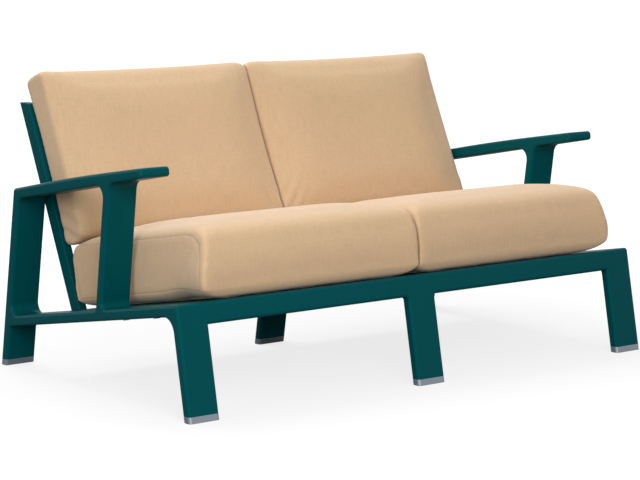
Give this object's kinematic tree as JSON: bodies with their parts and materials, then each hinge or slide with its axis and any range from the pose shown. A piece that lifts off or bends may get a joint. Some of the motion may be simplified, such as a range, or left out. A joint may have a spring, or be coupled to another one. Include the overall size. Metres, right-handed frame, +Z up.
{
  "type": "patio loveseat",
  "caption": "Outdoor loveseat with a flat-ribbon teal aluminium frame, splayed legs, slatted leaning back and loose tan seat and back cushions.",
  "frame": {"origin": "on the floor, under the middle of the overall box", "axes": "+Z up, +X across the seat, -Y towards the front, so a sitter faces -Y"},
  "size_m": [1.5, 0.9358, 0.788],
  "materials": {
    "frame_paint": "satin",
    "foot_cap": "satin",
    "cover_fabric": "matte",
    "foam": "matte",
    "bolt_steel": "satin",
    "end_cap_plastic": "matte"
  },
  "bodies": {
    "frame": {"bearer_bolts": "bolt_steel", "centre_back_upright": "frame_paint", "centre_front_foot_cap": "foot_cap", "centre_front_leg": "frame_paint", "centre_rear_foot_cap": "foot_cap", "centre_rear_leg": "frame_paint", "front_rail": "frame_paint", "front_seat_bearer": "frame_paint", "left_arm": "frame_paint", "left_arm_post": "frame_paint", "left_back_slats": "frame_paint", "left_back_upright": "frame_paint", "left_front_foot_cap": "foot_cap", "left_front_knuckle": "frame_paint", "left_front_leg": "frame_paint", "left_rear_foot_cap": "foot_cap", "left_rear_leg": "frame_paint", "left_seat_slats": "frame_paint", "left_side_rail": "frame_paint", "rear_rail": "frame_paint", "rear_seat_bearer": "frame_paint", "right_arm": "frame_paint", "right_arm_post": "frame_paint", "right_back_slats": "frame_paint", "right_back_upright": "frame_paint", "right_front_foot_cap": "foot_cap", "right_front_knuckle": "frame_paint", "right_front_leg": "frame_paint", "right_rear_foot_cap": "foot_cap", "right_rear_leg": "frame_paint", "right_seat_slats": "frame_paint", "right_side_rail": "frame_paint", "upright_end_caps": "end_cap_plastic"},
    "left_seat": {"left_seat_cushion": "cover_fabric", "left_seat_core": "foam"},
    "right_seat": {"right_seat_cushion": "cover_fabric", "right_seat_core": "foam"},
    "left_back": {"left_back_cushion": "cover_fabric", "left_back_core": "foam"},
    "right_back": {"right_back_cushion": "cover_fabric", "right_back_core": "foam"}
  },
  "joints": [
    {"name": "left_seat_slide", "type": "slide", "parent": "frame", "child": "left_seat", "axis": [0, -0.9848, 0.1736], "range_m": [0, 0.64]},
    {"name": "right_seat_slide", "type": "slide", "parent": "frame", "child": "right_seat", "axis": [0, -0.9848, 0.1736], "range_m": [0, 0.64]},
    {"name": "left_back_slide", "type": "slide", "parent": "frame", "child": "left_back", "axis": [0, 0.4226, 0.9063], "range_m": [0, 0.48]},
    {"name": "right_back_slide", "type": "slide", "parent": "frame", "child": "right_back", "axis": [0, 0.4226, 0.9063], "range_m": [0, 0.48]}
  ]
}
